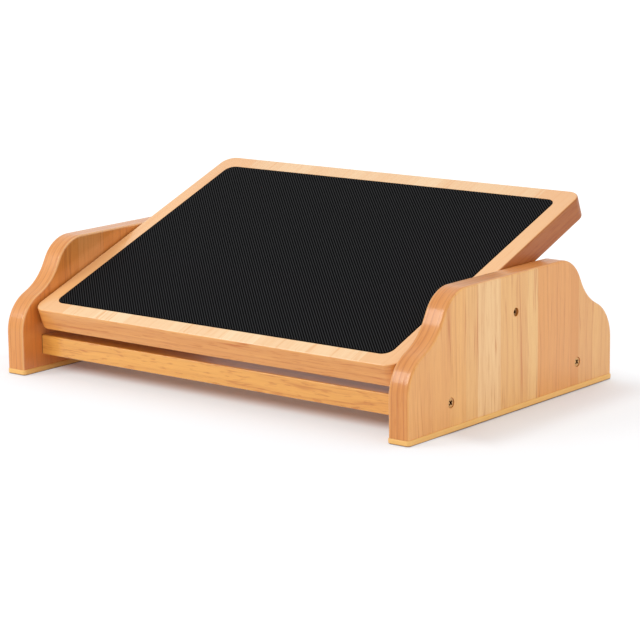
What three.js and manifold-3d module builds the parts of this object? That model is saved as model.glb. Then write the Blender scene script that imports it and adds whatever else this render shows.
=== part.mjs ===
// A tilting footrest for use under a desk. Lengths are in millimetres and angles in degrees.
// +Z is up, +Y is the back and +X the right. The origin is on the floor under the middle of the frame.
import * as THREE from 'three';
import { mergeVertices } from 'three/addons/utils/BufferGeometryUtils.js';
import Module from 'manifold-3d';

const wasm = await Module();
wasm.setup();

// Clearances
const fitGap = 0.3; // between a piece and the piece that it sits or turns in
const cutOverrun = 1.5; // how far a cutter runs past the face that it opens

// Side panels: a stepped outline, the same at the front and the back
const clearWidth = 413.6; // between the inner faces
const panelThick = 20;
const panelDepth = 300;
const panelHeight = 113; // above the base strip
const panelEdgeRadius = 2;
const shoulderHeight = 56; // from the panel's foot to the corner of the shoulder
const shoulderRadius = 37;
const lowerStepDepth = 39.4;
const lowerStepRise = 19.3;
const hollowRadius = 51;
const upperStepDepth = 20.7;
const crownRadius = 34;

// Base strips
const stripHeight = 5;
const stripProudSides = 1.2; // how far the strip stands out past the panel's two faces
const stripProudEnds = 0.5; // and past its front and back edges
const stripCornerRadius = 3.5;
const stripEdgeRadius = 1.2;

// Crossbars
const barDepth = 69;
const barThick = 18;
const barLift = 16; // underside above the floor
const barSetIn = 22; // from the panel's front or back edge to the bar's outer face, on average
const barSetBack = 2; // both bars lie this far behind the panel's middle
const barEdgeRadius = 1.2;

// Platform board
const boardGap = 1.4; // between the board's side and the panel
const boardLength = 294.5;
const boardThick = 21.2;
const boardCornerRadius = 13;
const boardEdgeRadius = 2;

// Foot mat, let into the board
const matBorder = 16.2; // wood left showing round the recess, on average
const matSetForward = 1.6; // the recess lies this far in front of the board's middle
const matCornerRadius = 9.5;
const matThick = 2.3;
const recessDepth = 2;
const matEdgeRadius = 0.5;

// Pivot
const pivotHeight = 84.9; // above the floor
const pivotSetBack = 1.2; // behind the frame's middle
const pivotDrop = 7.1; // below the board's underside
const boardSetBack = 7.6; // from the pivot back to the board's middle
const restTiltShare = 0.8555; // of the tilt at which the board meets the front bar
const boltHeadRadius = 3.4;
const boltHeadLength = 4;
const boltHeadSink = 1.3; // below the panel's outer face
const boltRadius = 2.5;
const boltReach = 11.5; // into the insert
const boltChamfer = 0.5;
const socketRadius = 2;
const socketDepth = 2.4;

// Pivot blocks, inserts, bushes and washers
const blockGap = 3; // between the block and the panel, for the bush's flange and the washer
const blockWidth = 24;
const blockLength = 76;
const blockHeight = 22;
const blockCornerRadius = 7;
const blockTopRadius = 2;
const blockEdgeRadius = 1;
const insertWall = 1.7;
const insertLength = 14;
const bushWall = 1.2;
const bushLength = 13; // inside the panel
const bushFlangeRadius = 5.8;
const bushFlangeThick = 1;
const washerRadius = 5.8;

// Crossbar screws and dowels
const barScrewHeadRadius = 4;
const barScrewRadius = 2.1;
const barScrewLength = 50;
const dowelRadius = 4;
const dowelLength = 30;
const dowelInPanel = 10;
const dowelSpacing = 40; // between the two dowels at a bar's end
const dowelFluteDepth = 0.35;
const dowelChamfer = 0.8;

// Block screws
const blockScrewHeadRadius = 3.5;
const blockScrewRadius = 1.75;
const blockScrewLength = 30;
const blockScrewSpacing = 50;

// What both kinds of wood screw share
const screwRim = 0.4;
const screwSink = 0.4; // head below the face
const screwTip = 4;
const crossSpanShare = 0.56; // of the head's diameter
const crossWidthShare = 0.13; // of the head's diameter
const crossDepthShare = 0.5; // of the head's radius

// How finely round forms are divided
const chordError = 0.08; // between an outline's true arc and its chords
const edgeSteps = 3;
const smallEdgeSteps = 2;
const roundSides = 24;
const smallRoundSides = 16;
const dowelFlutes = 8;

// Places worked out from the sizes above
const innerFace = clearWidth / 2;
const outerFace = innerFace + panelThick;
const barMiddleHeight = barLift + barThick / 2;
const barSpacing = panelDepth - 2 * barSetIn - barDepth; // from the middle of one bar to the other's
const barPlaces = [barSetBack - barSpacing / 2, barSetBack + barSpacing / 2];
const boardWidth = clearWidth - 2 * boardGap;
const blockOuterFace = innerFace - blockGap;
const boardTop = pivotDrop + boardThick;
const blockTop = pivotDrop - fitGap;
const washerThick = blockGap - bushFlangeThick - 2 * fitGap;

const finishes = {
  panel: { color: 0xdfae74, roughness: 0.42, metalness: 0 },
  board: { color: 0xeec08c, roughness: 0.42, metalness: 0 },
  bar: { color: 0xe3a862, roughness: 0.38, metalness: 0 },
  block: { color: 0xd8ab72, roughness: 0.55, metalness: 0 },
  strip: { color: 0xdcb061, roughness: 0.6, metalness: 0 },
  mat: { color: 0x1c1c1e, roughness: 0.8, metalness: 0 },
  dowel: { color: 0xd9b98a, roughness: 0.7, metalness: 0 },
  screw: { color: 0xb08a4e, roughness: 0.35, metalness: 1 },
  bolt: { color: 0x4a3826, roughness: 0.4, metalness: 1 },
  insert: { color: 0xb79a52, roughness: 0.35, metalness: 1 },
  bush: { color: 0xe8e4da, roughness: 0.5, metalness: 0 },
  washer: { color: 0x2b2b2d, roughness: 0.6, metalness: 0 },
};

// A closed geometry becomes a solid that can be cut and joined
function solidOf(geometry) {
  const bare = geometry.clone();
  bare.deleteAttribute('normal');
  bare.deleteAttribute('uv');
  const merged = mergeVertices(bare);
  const corners = merged.index.array;
  const kept = [];
  for (let i = 0; i < corners.length; i += 3) {
    const [a, b, c] = corners.subarray(i, i + 3);
    if (a !== b && b !== c && c !== a) kept.push(a, b, c);
  }
  return new wasm.Manifold(new wasm.Mesh({
    numProp: 3,
    vertProperties: merged.attributes.position.array,
    triVerts: Uint32Array.from(kept),
  }));
}

function geometryOf(solid) {
  const mesh = solid.getMesh();
  const geometry = new THREE.BufferGeometry();
  geometry.setAttribute('position', new THREE.BufferAttribute(mesh.vertProperties, mesh.numProp));
  geometry.setIndex(new THREE.BufferAttribute(mesh.triVerts, 1));
  geometry.computeVertexNormals();
  return geometry;
}

// A closed outline. Each corner is [x, y, radius], and a radius is limited by the two sides it joins.
function roundedShape(corners) {
  const count = corners.length;
  const points = corners.map(([x, y]) => new THREE.Vector2(x, y));
  const bends = points.map((point, i) => {
    const toLast = points[(i + count - 1) % count].clone().sub(point);
    const toNext = points[(i + 1) % count].clone().sub(point);
    const halfAngle = Math.acos(toLast.dot(toNext) / toLast.length() / toNext.length()) / 2;
    return { point, toLast, toNext, halfAngle, reach: corners[i][2] / Math.tan(halfAngle) };
  });
  const limits = bends.map((bend, i) => {
    const last = bends[(i + count - 1) % count];
    const next = bends[(i + 1) % count];
    const before = bend.toLast.length() / (last.reach + bend.reach);
    const after = bend.toNext.length() / (next.reach + bend.reach);
    return Math.min(1, before, after);
  });
  const outline = bends.flatMap((bend, i) => filletPoints(bend, bend.reach * limits[i]));
  const spread = outline.filter((point, i) => point.distanceTo(outline.at(i - 1)) > fitGap / 2);
  return new THREE.Shape(spread);
}

// Points along the arc that rounds one corner of an outline
function filletPoints({ point, toLast, toNext, halfAngle }, reach) {
  if (reach === 0) return [point];
  const radius = reach * Math.tan(halfAngle);
  const start = point.clone().addScaledVector(toLast, reach / toLast.length());
  const end = point.clone().addScaledVector(toNext, reach / toNext.length());
  const middle = start.clone().add(end).multiplyScalar(0.5);
  const inward = middle.clone().sub(point).normalize();
  const centre = point.clone().addScaledVector(inward, radius / Math.sin(halfAngle));
  const from = start.sub(centre).angle();
  const turn = Math.PI - 2 * halfAngle;
  const side = Math.sign(toNext.cross(toLast));
  const chordTurn = 2 * Math.acos(Math.max(0, 1 - chordError / radius));
  const steps = Math.max(2, Math.round(turn / chordTurn));
  return Array.from({ length: steps + 1 }, (_, k) => {
    const angle = from + side * turn * k / steps;
    return new THREE.Vector2(Math.cos(angle), Math.sin(angle)).multiplyScalar(radius).add(centre);
  });
}

function rectangle(width, height, radius) {
  const x = width / 2;
  const y = height / 2;
  return roundedShape([[-x, -y, radius], [x, -y, radius], [x, y, radius], [-x, y, radius]]);
}

// A plate of the given outline from z = 0 up, with its two rims rounded over
function plate(shape, thickness, edgeRadius, rimSteps = smallEdgeSteps) {
  const geometry = new THREE.ExtrudeGeometry(shape, {
    depth: thickness - 2 * edgeRadius,
    bevelEnabled: edgeRadius > 0,
    bevelThickness: edgeRadius,
    bevelSize: edgeRadius,
    bevelOffset: -edgeRadius,
    bevelSegments: rimSteps,
  });
  return geometry.translate(0, 0, edgeRadius);
}

// Turns a plate so that its outline lies in Y and Z and its thickness runs along +X
function alongX(geometry) {
  const across = new THREE.Vector3(0, 1, 0);
  const up = new THREE.Vector3(0, 0, 1);
  const out = new THREE.Vector3(1, 0, 0);
  return geometry.applyMatrix4(new THREE.Matrix4().makeBasis(across, up, out));
}

// A turned solid. The profile is a list of [radius, height], and height runs along +Y.
function turned(profile, sides) {
  return solidOf(new THREE.LatheGeometry(profile.map(([r, y]) => new THREE.Vector2(r, y)), sides));
}

// A turned solid whose height runs along +X, moved to a place
function turnedAlongX(profile, sides, x, y, z) {
  return turned(profile, sides).rotate([0, 0, -90]).translate([x, y, z]);
}

function bar(radius, from, to) {
  return [[0, from], [radius, from], [radius, to], [0, to]];
}

// Wood screws

// A countersunk wood screw with its head's face at height 0
function screwProfile(headRadius, radius, length) {
  const headDepth = screwRim + headRadius - radius;
  return [
    [0, -length], [radius, -length + screwTip], [radius, -headDepth],
    [headRadius, -screwRim], [headRadius, 0], [0, 0],
  ];
}

// The hole for that screw: the same form grown by the fit, and open past the face
function screwHoleProfile(headRadius, radius, length) {
  const headDepth = screwRim + headRadius - radius;
  const headGap = fitGap * Math.SQRT2;
  const bore = radius + fitGap;
  const mouth = headRadius + headGap;
  return [
    [0, -length - fitGap], [bore, -length - fitGap], [bore, -headDepth + bore - radius - headGap],
    [mouth, -screwRim], [mouth, cutOverrun], [0, cutOverrun],
  ];
}

function crossRecess(headRadius) {
  const span = 2 * headRadius * crossSpanShare;
  const width = 2 * headRadius * crossWidthShare;
  const depth = headRadius * crossDepthShare;
  const slot = new THREE.BoxGeometry(span, 2 * depth, width);
  return solidOf(slot).add(solidOf(slot.clone().rotateY(Math.PI / 2)));
}

function screw(headRadius, radius, length, sides) {
  return turned(screwProfile(headRadius, radius, length), sides).subtract(crossRecess(headRadius));
}

// Side panels

// The outline in Y and Z. Its foot runs below z = 0, where it is trimmed flat.
function panelShape() {
  const edge = panelDepth / 2;
  const hollow = edge - lowerStepDepth;
  const crown = hollow - upperStepDepth;
  const foot = -panelEdgeRadius - cutOverrun;
  const front = [
    [-edge, foot, 0], [-edge, shoulderHeight, shoulderRadius],
    [-hollow, shoulderHeight + lowerStepRise, hollowRadius], [-crown, panelHeight, crownRadius],
  ];
  const back = front.map(([y, z, radius]) => [-y, z, radius]).reverse();
  return roundedShape([...back, ...front]);
}

// Along the bolt's axis: the bush's bore, a web that the bolt passes, and a counterbore for the head
function pivotHole() {
  const headSeat = panelThick - boltHeadSink - boltHeadLength - fitGap;
  const bushBore = boltRadius + fitGap + bushWall + fitGap;
  const bushEnd = Math.min(bushLength + fitGap, headSeat - fitGap);
  return [
    [0, -cutOverrun], [bushBore, -cutOverrun], [bushBore, bushEnd], [boltRadius + fitGap, bushEnd],
    [boltRadius + fitGap, headSeat], [boltHeadRadius + fitGap, headSeat],
    [boltHeadRadius + fitGap, panelThick + cutOverrun], [0, panelThick + cutOverrun],
  ];
}

// The right panel, with its inner face at x = 0 and its foot at z = 0
function sidePanel() {
  const trimDepth = panelDepth + 2 * cutOverrun;
  const trimHeight = panelEdgeRadius + 2 * cutOverrun;
  const trim = new THREE.BoxGeometry(panelThick + 2 * cutOverrun, trimDepth, trimHeight);
  trim.translate(panelThick / 2, 0, -trimHeight / 2);
  const blank = alongX(plate(panelShape(), panelThick, panelEdgeRadius, edgeSteps));
  let panel = solidOf(blank).subtract(solidOf(trim));

  const pivotZ = pivotHeight - stripHeight;
  panel = panel.subtract(turnedAlongX(pivotHole(), roundSides, 0, pivotSetBack, pivotZ));

  const barZ = barMiddleHeight - stripHeight;
  const screwHole = screwHoleProfile(barScrewHeadRadius, barScrewRadius, barScrewLength);
  const dowelHole = bar(dowelRadius + fitGap, -cutOverrun, dowelInPanel + fitGap);
  for (const y of barPlaces) {
    panel = panel.subtract(turnedAlongX(screwHole, roundSides, panelThick - screwSink, y, barZ));
    for (const step of [-dowelSpacing / 2, dowelSpacing / 2]) {
      panel = panel.subtract(turnedAlongX(dowelHole, smallRoundSides, 0, y + step, barZ));
    }
  }
  return panel;
}

function baseStrip() {
  const width = panelThick + 2 * stripProudSides;
  const length = panelDepth + 2 * stripProudEnds;
  return solidOf(plate(rectangle(width, length, stripCornerRadius), stripHeight, stripEdgeRadius));
}

// Crossbars

// A slat along X, centred on its own middle, with holes in both ends
function crossbar() {
  const section = rectangle(barDepth, barThick, barEdgeRadius);
  const slat = solidOf(alongX(plate(section, clearWidth, 0)).translate(-innerFace, 0, 0));
  const screwHole = screwHoleProfile(barScrewHeadRadius, barScrewRadius, barScrewLength);
  const dowelDepth = dowelLength - dowelInPanel + fitGap;
  const dowelHole = bar(dowelRadius + fitGap, -dowelDepth, cutOverrun);
  let holes = turnedAlongX(screwHole, smallRoundSides, outerFace - screwSink, 0, 0);
  for (const step of [-dowelSpacing / 2, dowelSpacing / 2]) {
    holes = holes.add(turnedAlongX(dowelHole, smallRoundSides, innerFace, step, 0));
  }
  return slat.subtract(holes).subtract(holes.mirror([1, 0, 0]));
}

// A fluted dowel from z = 0 up
function dowel() {
  const points = Array.from({ length: 2 * dowelFlutes }, (_, k) => {
    const angle = Math.PI * k / dowelFlutes;
    const radius = dowelRadius - (k % 2) * dowelFluteDepth;
    return new THREE.Vector2(Math.cos(angle), Math.sin(angle)).multiplyScalar(radius);
  });
  const geometry = new THREE.ExtrudeGeometry(new THREE.Shape(points), {
    depth: dowelLength - 2 * dowelChamfer,
    bevelThickness: dowelChamfer,
    bevelSize: dowelChamfer,
    bevelOffset: -dowelChamfer,
    bevelSegments: 1,
  });
  return geometry.translate(0, 0, dowelChamfer);
}

// The platform. Its pieces are placed from the pivot's axis.

// Where the block screws go up through the blocks and into the board
function blockScrewPlaces() {
  const x = blockOuterFace - blockWidth / 2;
  return [-blockScrewSpacing / 2, blockScrewSpacing / 2].map((y) => [x, y]);
}

function blockScrewHole() {
  const profile = screwHoleProfile(blockScrewHeadRadius, blockScrewRadius, blockScrewLength);
  return turned(profile, smallRoundSides).rotate([-90, 0, 0]);
}

function blockScrewHeight() {
  return blockTop - blockHeight + screwSink;
}

function platformBoard() {
  const width = boardWidth - 2 * matBorder;
  const length = boardLength - 2 * matBorder;
  const outline = rectangle(boardWidth, boardLength, boardCornerRadius);
  const recess = plate(rectangle(width, length, matCornerRadius), recessDepth + cutOverrun, 0);
  let board = solidOf(plate(outline, boardThick, boardEdgeRadius, edgeSteps));
  recess.translate(0, -matSetForward, boardThick - recessDepth);
  board = board.subtract(solidOf(recess));
  const screwZ = blockScrewHeight() - pivotDrop;
  for (const [x, y] of blockScrewPlaces()) {
    for (const side of [-1, 1]) {
      board = board.subtract(blockScrewHole().translate([side * x, y - boardSetBack, screwZ]));
    }
  }
  return board;
}

function footMat() {
  const width = boardWidth - 2 * (matBorder + fitGap);
  const length = boardLength - 2 * (matBorder + fitGap);
  const outline = rectangle(width, length, matCornerRadius - fitGap);
  return solidOf(plate(outline, matThick, matEdgeRadius));
}

// The right block, with its outer face at x = 0 and the pivot's axis at y = 0, z = 0
function pivotBlock() {
  const y = blockLength / 2;
  const bottom = blockTop - blockHeight;
  const shape = roundedShape([
    [-y, bottom, blockCornerRadius], [y, bottom, blockCornerRadius],
    [y, blockTop, blockTopRadius], [-y, blockTop, blockTopRadius],
  ]);
  let block = solidOf(alongX(plate(shape, blockWidth, blockEdgeRadius)).translate(-blockWidth, 0, 0));
  const insertRadius = boltRadius + fitGap + insertWall;
  const insertHole = bar(insertRadius + fitGap, -insertLength - 2 * fitGap, cutOverrun);
  block = block.subtract(turnedAlongX(insertHole, roundSides, 0, 0, 0));
  for (const [x, y] of blockScrewPlaces()) {
    block = block.subtract(blockScrewHole().translate([x - blockOuterFace, y, blockScrewHeight()]));
  }
  return block;
}

// A ring between two heights, such as a washer
function ring(inner, outer, from, to) {
  return [[inner, from], [outer, from], [outer, to], [inner, to], [inner, from]];
}

function pivotInsert() {
  const inner = boltRadius + fitGap;
  return turned(ring(inner, inner + insertWall, -insertLength, 0), roundSides);
}

// The bush's barrel runs up from height 0, and its flange lies under 0, on the panel's inner face
function pivotBush() {
  const inner = boltRadius + fitGap;
  const outer = inner + bushWall;
  const headSeat = panelThick - boltHeadSink - boltHeadLength - fitGap;
  const end = Math.min(bushLength, headSeat - 2 * fitGap);
  return turned([
    [inner, -bushFlangeThick], [bushFlangeRadius, -bushFlangeThick], [bushFlangeRadius, 0],
    [outer, 0], [outer, end], [inner, end], [inner, -bushFlangeThick],
  ], roundSides);
}

function frictionWasher() {
  return turned(ring(boltRadius + fitGap, washerRadius, 0, washerThick), roundSides);
}

// The bolt's head is at height 0 and its end lies inside the insert
function pivotBolt() {
  const length = panelThick - boltHeadSink + blockGap + boltReach;
  const body = turned([
    [0, -length], [boltRadius - boltChamfer, -length], [boltRadius, -length + boltChamfer],
    [boltRadius, -boltHeadLength], [boltHeadRadius, -boltHeadLength], [boltHeadRadius, -boltChamfer],
    [boltHeadRadius - boltChamfer, 0], [0, 0],
  ], roundSides);
  const socket = new THREE.CylinderGeometry(socketRadius, socketRadius, 2 * socketDepth, 6);
  return body.subtract(solidOf(socket));
}

// The tilt at which the board's underside would meet the front bar's upper front edge
function frontStopTilt() {
  const out = pivotSetBack - barPlaces[0] + barDepth / 2;
  const down = pivotHeight - barMiddleHeight - barThick / 2;
  return Math.atan2(down, out) + Math.asin(pivotDrop / Math.hypot(down, out));
}

// Building the model
const footrest = new THREE.Group();
const frame = new THREE.Group();
const platform = new THREE.Group();
platform.position.set(0, pivotSetBack, pivotHeight);
platform.rotation.x = frontStopTilt() * restTiltShare;
footrest.add(frame, platform);

function addPiece(group, name, geometry, finish, x, y, z) {
  const mesh = new THREE.Mesh(geometry, new THREE.MeshStandardMaterial(finishes[finish]));
  mesh.name = name;
  mesh.position.set(x, y, z);
  group.add(mesh);
  return mesh;
}

// The same solid on the right and, mirrored, on the left
function addPair(group, name, solid, finish, x, y, z) {
  addPiece(group, `right_${name}`, geometryOf(solid), finish, x, y, z);
  addPiece(group, `left_${name}`, geometryOf(solid.mirror([1, 0, 0])), finish, -x, y, z);
}

// A turned piece on each side, its height pointing outwards
function addTurnedPair(group, name, solid, finish, x, y, z) {
  for (const [label, side] of [['right', 1], ['left', -1]]) {
    const mesh = addPiece(group, `${label}_${name}`, geometryOf(solid), finish, side * x, y, z);
    mesh.rotation.z = -side * Math.PI / 2;
  }
}

function addFrame() {
  addPair(frame, 'side_panel', sidePanel(), 'panel', innerFace, 0, stripHeight);
  addPair(frame, 'base_strip', baseStrip(), 'strip', innerFace + panelThick / 2, 0, 0);
  addTurnedPair(frame, 'pivot_bush', pivotBush(), 'bush', innerFace, pivotSetBack, pivotHeight);
  for (const [label, y] of [['front', barPlaces[0]], ['rear', barPlaces[1]]]) {
    addPiece(frame, `${label}_crossbar`, geometryOf(crossbar()), 'bar', 0, y, barMiddleHeight);
    addBarFixings(label, y);
  }
}

function addBarFixings(label, y) {
  const fixing = screw(barScrewHeadRadius, barScrewRadius, barScrewLength, roundSides);
  const screwX = outerFace - screwSink;
  addTurnedPair(frame, `${label}_bar_screw`, fixing, 'screw', screwX, y, barMiddleHeight);
  const dowelX = innerFace + dowelInPanel - dowelLength;
  for (const [number, step] of [[1, -dowelSpacing / 2], [2, dowelSpacing / 2]]) {
    const name = `${label}_bar_dowel_${number}`;
    const solid = solidOf(alongX(dowel()));
    addPair(frame, name, solid, 'dowel', dowelX, y + step, barMiddleHeight);
  }
}

function addPlatform() {
  const matHeight = boardTop - recessDepth + fitGap;
  addPiece(platform, 'platform_board', geometryOf(platformBoard()), 'board', 0, boardSetBack, pivotDrop);
  const matMiddle = boardSetBack - matSetForward;
  addPiece(platform, 'foot_mat', geometryOf(footMat()), 'mat', 0, matMiddle, matHeight);
  addPair(platform, 'pivot_block', pivotBlock(), 'block', blockOuterFace, 0, 0);
  addTurnedPair(platform, 'pivot_insert', pivotInsert(), 'insert', blockOuterFace - fitGap, 0, 0);
  addTurnedPair(platform, 'friction_washer', frictionWasher(), 'washer', blockOuterFace + fitGap, 0, 0);
  addTurnedPair(platform, 'pivot_bolt', pivotBolt(), 'bolt', outerFace - boltHeadSink, 0, 0);
  addBlockScrews();
}

function addBlockScrews() {
  const fixing = screw(blockScrewHeadRadius, blockScrewRadius, blockScrewLength, smallRoundSides);
  const upright = fixing.rotate([-90, 0, 0]);
  blockScrewPlaces().forEach(([x, y], i) => {
    addPair(platform, `block_screw_${i + 1}`, upright, 'screw', x, y, blockScrewHeight());
  });
}

addFrame();
addPlatform();

export default footrest;
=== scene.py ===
# %% [markdown]
# # A tilting footrest
#
# A wooden board with a ribbed rubber mat tilts between two stepped side panels, which two
# crossbars join. The solids of every piece come packed from CAD. They are exact, but their
# round forms are cut into flats, so this lesson builds smoother stand-ins of the same sizes
# where an eye can see them, and mixes a finish for every piece, hidden ones too.
#
# The imported model is loaded first.

# %% Load the imported model
import math

import bmesh
import bpy
import numpy as np
from mathutils import Matrix, Vector


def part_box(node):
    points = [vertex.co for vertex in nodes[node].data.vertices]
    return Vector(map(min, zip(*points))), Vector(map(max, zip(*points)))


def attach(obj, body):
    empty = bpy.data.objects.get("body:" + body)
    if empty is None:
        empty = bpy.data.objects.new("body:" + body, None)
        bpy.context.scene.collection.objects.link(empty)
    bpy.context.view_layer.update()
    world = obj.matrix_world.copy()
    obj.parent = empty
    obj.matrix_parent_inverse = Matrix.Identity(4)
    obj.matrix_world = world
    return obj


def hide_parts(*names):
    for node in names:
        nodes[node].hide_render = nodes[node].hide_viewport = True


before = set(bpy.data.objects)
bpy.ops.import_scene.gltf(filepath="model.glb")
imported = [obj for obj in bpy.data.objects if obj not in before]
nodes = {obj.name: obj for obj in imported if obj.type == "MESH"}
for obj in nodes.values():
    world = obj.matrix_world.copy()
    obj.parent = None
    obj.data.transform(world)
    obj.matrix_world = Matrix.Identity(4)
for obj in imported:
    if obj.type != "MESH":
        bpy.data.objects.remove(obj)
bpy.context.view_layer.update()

# %% [markdown]
# ## Sizes
#
# Blender works in metres here, and a joiner in millimetres, so the sizes below are written as
# millimetres times `mm`. They repeat the sizes of the CAD source, as far as the stand-ins need
# them. Only the recesses in the heads of the screws and bolts differ, to follow the photograph
# more closely.

# %% Sizes of the frame
mm = 0.001

clear_width = 413.6 * mm
panel_thick = 20 * mm
panel_depth = 300 * mm
panel_height = 113 * mm
panel_ease = 2 * mm
shoulder = (56 * mm, 37 * mm)  # height and radius
lower_step = (39.4 * mm, 19.3 * mm, 51 * mm)  # depth, rise and radius
upper_step = (20.7 * mm, 34 * mm)  # depth and radius
strip_height = 5 * mm
strip_proud = (1.2 * mm, 0.5 * mm)  # past the panel's faces, and past its two edges
strip_corner = 3.5 * mm
strip_ease = 1.2 * mm
bar_depth = 69 * mm
bar_thick = 18 * mm
bar_height = 25 * mm  # of its middle
bar_ease = (1.2 * mm, 0.25 * mm)  # along the bar, and round its ends
bar_places = {"front": -91.5 * mm, "rear": 95.5 * mm}
inner_face = clear_width / 2
outer_face = inner_face + panel_thick
print("frame is", round(2 * outer_face / mm, 1), "mm wide")

# %% Sizes of the platform
fit = 0.3 * mm  # between a piece and the piece that it sits or turns in
board_gap = 1.4 * mm
board_length = 294.5 * mm
board_thick = 21.2 * mm
board_back = 7.6 * mm
board_corner = 13 * mm
board_ease = 2 * mm
mat_border = 16.2 * mm
mat_forward = 1.6 * mm
mat_thick = 2.3 * mm
mat_corner = 9.2 * mm
mat_ease = 0.4 * mm
recess_depth = 2 * mm
pivot = Vector((0, 1.2 * mm, 84.9 * mm))
pivot_drop = 7.1 * mm  # below the board's underside
rest_tilt_share = 0.8555  # of the tilt at which the board meets the front bar
block_gap = 3 * mm
block_width, block_length, block_height = 24 * mm, 76 * mm, 22 * mm
block_corners = (7 * mm, 2 * mm)  # below and above
block_ease = 1 * mm
block_screw_places = (-25 * mm, 25 * mm)
board_width = clear_width - 2 * board_gap
board_top = pivot_drop + board_thick
block_face = inner_face - block_gap
print("board is", round(board_width / mm, 1), "by", round(board_length / mm, 1), "mm")

# %% [markdown]
# The board rests a little short of the tilt at which its underside would touch the front bar.
# That tilt follows from the sizes, so it is worked out as the CAD source does it, and the
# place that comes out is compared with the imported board.

# %% The platform's own frame
stop_out = pivot.y - bar_places["front"] + bar_depth / 2
stop_down = pivot.z - bar_height - bar_thick / 2
stop_away = math.hypot(stop_down, stop_out)
stop_tilt = math.atan2(stop_down, stop_out) + math.asin(pivot_drop / stop_away)
rest_tilt = rest_tilt_share * stop_tilt
platform_place = Matrix.Translation(pivot) @ Matrix.Rotation(rest_tilt, 4, "X")
back_edge = platform_place @ Vector((0, board_back + board_length / 2 - board_ease, board_top))
packed_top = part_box("platform_board")[1].z
print("tilt", round(math.degrees(rest_tilt), 2), "degrees; the board's back edge is at",
      round(back_edge.z, 4), "and the packed board's top at", round(packed_top, 4))

# %% [markdown]
# ## Camera
#
# The camera's place was found by fitting the sizes above to the photograph. It looks at the
# middle of the object from the right and a little above. A long lens from two metres gives
# the flat perspective of a catalogue picture. It is made before anything else, so that every
# piece can be judged in the photograph's frame.

# %% Camera
azimuth, elevation, roll = (math.radians(a) for a in (38.993, 11.704, -0.730))
camera_distance = 2.201598
camera_shift = (0.013129, -0.008951)  # sideways and upwards
aim_point = Vector((0, 0, 60 * mm))
picture_width = 640  # pixels
focal_pixels = 2462.431
film_width = 36

towards_camera = Vector((math.sin(azimuth) * math.cos(elevation),
                         -math.cos(azimuth) * math.cos(elevation), math.sin(elevation)))
level = Vector((math.cos(azimuth), math.sin(azimuth), 0))
upright = towards_camera.cross(level)
camera_right = math.cos(roll) * level + math.sin(roll) * upright
camera_up = math.cos(roll) * upright - math.sin(roll) * level
camera_at = (towards_camera * camera_distance + level * camera_shift[0]
             + upright * camera_shift[1] + aim_point)

camera_data = bpy.data.cameras.new("catalogue_camera")
camera_data.sensor_width = film_width
camera_data.lens = focal_pixels * film_width / picture_width
camera = bpy.data.objects.new("catalogue_camera", camera_data)
turn = Matrix((camera_right, camera_up, towards_camera)).transposed()
camera.matrix_world = Matrix.Translation(camera_at) @ turn.to_4x4()
bpy.context.scene.collection.objects.link(camera)
bpy.context.scene.camera = camera
print("lens", round(camera_data.lens, 1), "mm at", [round(v, 3) for v in camera_at])

# %% [markdown]
# ## Outlines
#
# Nearly every piece here is a flat shape with thickness, so the work starts with outlines. A
# corner is given as a point and a radius, as on a joiner's drawing, and the arc is filled in
# with short chords. Where two neighbouring arcs would meet on the side between them, both
# shrink to fit it.

# %% Rounded outlines
chord_error = 0.012 * mm  # between a true arc and the chords that stand for it


def rounded(corners):
    """The points of a closed outline. Each corner is (x, y, radius), anticlockwise."""
    points = np.array([(x, y) for x, y, _ in corners], float)
    to_last = np.roll(points, 1, axis=0) - points
    to_next = np.roll(points, -1, axis=0) - points
    reaches, half_angles = [], []
    for (_, _, radius), a, b in zip(corners, to_last, to_next):
        half = math.acos(a @ b / np.linalg.norm(a) / np.linalg.norm(b)) / 2
        half_angles.append(half)
        reaches.append(radius / math.tan(half))
    outline = []
    for i, point in enumerate(points):
        a, b, reach = to_last[i], to_next[i], reaches[i]
        if reach == 0:
            outline.append(point)
            continue
        before = np.linalg.norm(a) / (reaches[i - 1] + reach)
        after = np.linalg.norm(b) / (reaches[(i + 1) % len(points)] + reach)
        outline.extend(arc(point, a, b, half_angles[i], reach * min(1, before, after)))
    return np.array(outline)


def arc(point, a, b, half, reach):
    """The points that round one corner, from the side a to the side b."""
    radius = reach * math.tan(half)
    start = point + a / np.linalg.norm(a) * reach
    end = point + b / np.linalg.norm(b) * reach
    inward = (start + end) / 2 - point
    centre = point + inward / np.linalg.norm(inward) * radius / math.sin(half)
    first = math.atan2(*(start - centre)[::-1])
    sweep = math.remainder(math.atan2(*(end - centre)[::-1]) - first, 2 * math.pi)
    steps = max(4, round(abs(sweep) / (2 * math.acos(1 - chord_error / radius))))
    angles = first + sweep * np.arange(steps + 1) / steps
    return centre + radius * np.column_stack((np.cos(angles), np.sin(angles)))


def rectangle(width, height, radius):
    """A rounded rectangle about the middle."""
    x, y = width / 2, height / 2
    return rounded([(-x, -y, radius), (x, -y, radius), (x, y, radius), (-x, y, radius)])


corner_points = len(rectangle(board_width, board_length, board_corner)) // 4
print("the board's corners get", corner_points, "points")

# %% [markdown]
# ## Slabs
#
# A slab is an outline given thickness, with both rims rounded over as a router would leave
# them. A Bevel modifier could do this, but it struggles where an outline is made of many
# short chords. Here the rim is built directly: ring after ring of the same outline, each a
# little further in and further up, along a quarter circle.

# %% Slabs
def inset(outline, distance):
    """The outline moved inwards by a distance."""
    along = np.roll(outline, -1, axis=0) - outline
    along /= np.linalg.norm(along, axis=1)[:, None]
    after = np.column_stack((along[:, 1], -along[:, 0]))
    before = np.roll(after, 1, axis=0)
    mitre = (before + after) / (1 + (before * after).sum(axis=1))[:, None]
    return outline - distance * mitre


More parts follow.
